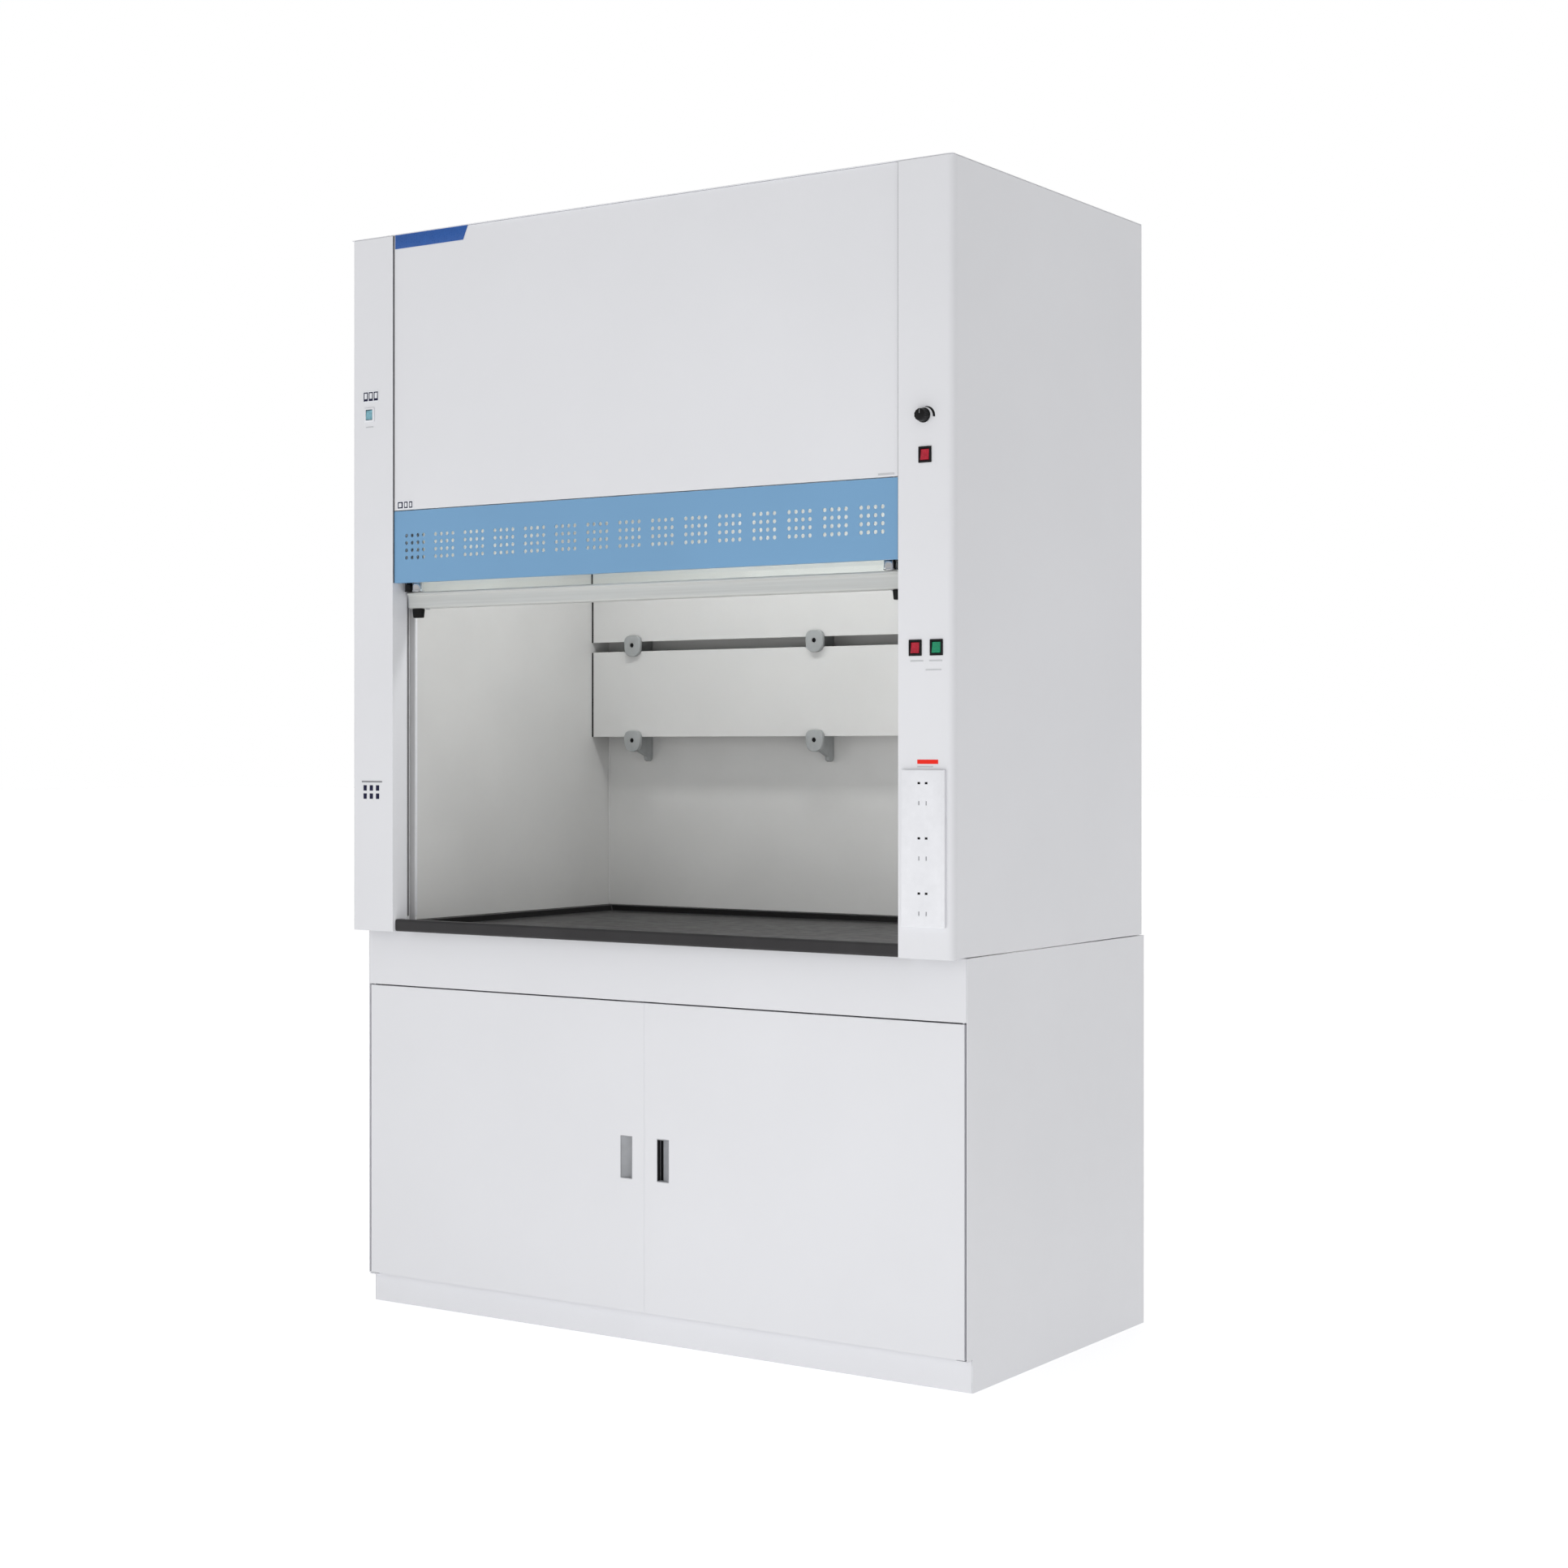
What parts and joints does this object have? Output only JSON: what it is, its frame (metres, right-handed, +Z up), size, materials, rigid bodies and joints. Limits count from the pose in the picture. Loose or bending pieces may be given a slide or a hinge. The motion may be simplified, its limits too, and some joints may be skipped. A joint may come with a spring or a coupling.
{
  "type": "fume hood",
  "caption": "Bench fume hood with a steel base cupboard, dished worktop, lined and baffled chamber, perforated air grille and a counterbalanced vertical sash.",
  "frame": {"origin": "on the floor under the middle of the overall box", "axes": "+Z up, -Y out of the sash opening towards the user, +X to the user's right"},
  "size_m": [1.5, 0.868, 2.41],
  "materials": {
    "shell": "satin powder coat, cool white",
    "grille": "satin powder coat, light blue",
    "liner": "smooth matt chemical-resistant board, light grey",
    "bracket": "moulded polypropylene, mid grey",
    "worktop": "honed cast epoxy resin, charcoal",
    "glass": "clear toughened glass with a faint green edge",
    "aluminium": "natural anodised extrusion",
    "rail": "pale satin anodised extrusion",
    "steel": "bright drawn bar",
    "weight": "sawn bar with a dark primer",
    "rope": "stranded stainless wire",
    "nylon": "turned nylon",
    "door_pull": "moulded grey flush pull",
    "black": "moulded black",
    "rocker_red": "translucent red lens",
    "rocker_green": "translucent green lens",
    "rocker_teal": "pale teal lens",
    "socket": "moulded white",
    "lamp": "frosted tube"
  },
  "bodies": {
    "root": {"base_side_left": "shell", "base_side_right": "shell", "base_back": "shell", "base_floor": "shell", "kick_plate": "shell", "apron_panel": "shell", "shelf": "shell", "upper_side_left": "shell", "upper_side_right": "shell", "upper_back": "shell", "roof_panel": "shell", "exhaust_collar": "shell", "fascia_panel": "shell", "post_left": "shell", "post_right": "shell", "lamp_housing": "shell", "sash_track_left": "shell", "sash_track_right": "shell", "door_pivot_rod_left": "steel", "door_pivot_rod_right": "steel", "worktop": "worktop", "grille_panel": "grille", "liner_left": "liner", "liner_right": "liner", "liner_back": "liner", "chamber_ceiling": "liner", "baffle_upper": "liner", "baffle_lower": "liner", "baffle_bracket_lower_left": "bracket", "baffle_bracket_lower_middle": "bracket", "baffle_bracket_lower_right": "bracket", "baffle_bracket_upper_left": "bracket", "baffle_bracket_upper_middle": "bracket", "baffle_bracket_upper_right": "bracket", "lamp_tube": "lamp", "sash_rope_left": "rope", "sash_rope_right": "rope", "weight_rope_left": "rope", "weight_rope_right": "rope", "switch_housing_fan": "black", "switch_housing_power": "black", "switch_housing_light": "black", "socket_panel": "socket", "switch_housing_aux": "socket"},
    "door_left": {"door_left": "shell", "door_pull_left": "door_pull"},
    "door_right": {"door_right": "shell", "door_pull_right": "door_pull"},
    "sash": {"sash_frame": "aluminium", "sash_glass": "glass", "sash_handle_rail": "rail"},
    "pulley_left": {"pulley_left": "nylon"},
    "pulley_right": {"pulley_right": "nylon"},
    "counterweight_left": {"counterweight_left": "weight"},
    "counterweight_right": {"counterweight_right": "weight"},
    "speed_knob": {"speed_knob": "black"},
    "rocker_fan": {"rocker_fan": "rocker_red"},
    "rocker_power": {"rocker_power": "rocker_red"},
    "rocker_light": {"rocker_light": "rocker_green"},
    "rocker_aux": {"rocker_aux": "rocker_teal"}
  },
  "joints": [
    {"name": "door_left_hinge", "type": "hinge", "parent": "root", "child": "door_left", "pos_m": [-0.7385, -0.3505, 0.385], "axis": [0, 0, 1], "range_deg": [-100, 0]},
    {"name": "door_right_hinge", "type": "hinge", "parent": "root", "child": "door_right", "pos_m": [0.7385, -0.3505, 0.385], "axis": [0, 0, 1], "range_deg": [0, 100]},
    {"name": "sash_slide", "type": "slide", "parent": "root", "child": "sash", "axis": [0, 0, 1], "range_m": [-0.66, 0], "deforming": ["sash_rope_left", "sash_rope_right"]},
    {"name": "counterweight_left_slide", "type": "slide", "parent": "root", "child": "counterweight_left", "axis": [0, 0, 1], "range_m": [0, 0.66], "deforming": ["weight_rope_left"]},
    {"name": "counterweight_right_slide", "type": "slide", "parent": "root", "child": "counterweight_right", "axis": [0, 0, 1], "range_m": [0, 0.66], "deforming": ["weight_rope_right"]},
    {"name": "pulley_left_spin", "type": "hinge", "parent": "root", "child": "pulley_left", "pos_m": [-0.6425, -0.378, 2.272], "axis": [0, 1, 0], "range_deg": [0, 797.1]},
    {"name": "pulley_right_spin", "type": "hinge", "parent": "root", "child": "pulley_right", "pos_m": [0.6425, -0.378, 2.272], "axis": [0, 1, 0], "range_deg": [-797.1, 0]},
    {"name": "speed_knob_turn", "type": "hinge", "parent": "root", "child": "speed_knob", "pos_m": [0.688, -0.416, 1.86], "axis": [0, 1, 0], "range_deg": [-135, 135]},
    {"name": "rocker_fan_tilt", "type": "hinge", "parent": "root", "child": "rocker_fan", "pos_m": [0.691, -0.414, 1.7855], "axis": [1, 0, 0], "range_deg": [0, 12]},
    {"name": "rocker_power_tilt", "type": "hinge", "parent": "root", "child": "rocker_power", "pos_m": [0.67, -0.414, 1.42], "axis": [1, 0, 0], "range_deg": [0, 12]},
    {"name": "rocker_light_tilt", "type": "hinge", "parent": "root", "child": "rocker_light", "pos_m": [0.7155, -0.414, 1.42], "axis": [1, 0, 0], "range_deg": [0, 12]},
    {"name": "rocker_aux_tilt", "type": "hinge", "parent": "root", "child": "rocker_aux", "pos_m": [-0.698, -0.414, 1.962], "axis": [1, 0, 0], "range_deg": [0, 12]}
  ],
  "couplings": [
    {"joint": "counterweight_left_slide", "follows": "sash_slide", "ratio": -1},
    {"joint": "counterweight_right_slide", "follows": "sash_slide", "ratio": -1},
    {"joint": "pulley_left_spin", "follows": "sash_slide", "rad_per_m": -21.053},
    {"joint": "pulley_right_spin", "follows": "sash_slide", "rad_per_m": 21.053}
  ]
}
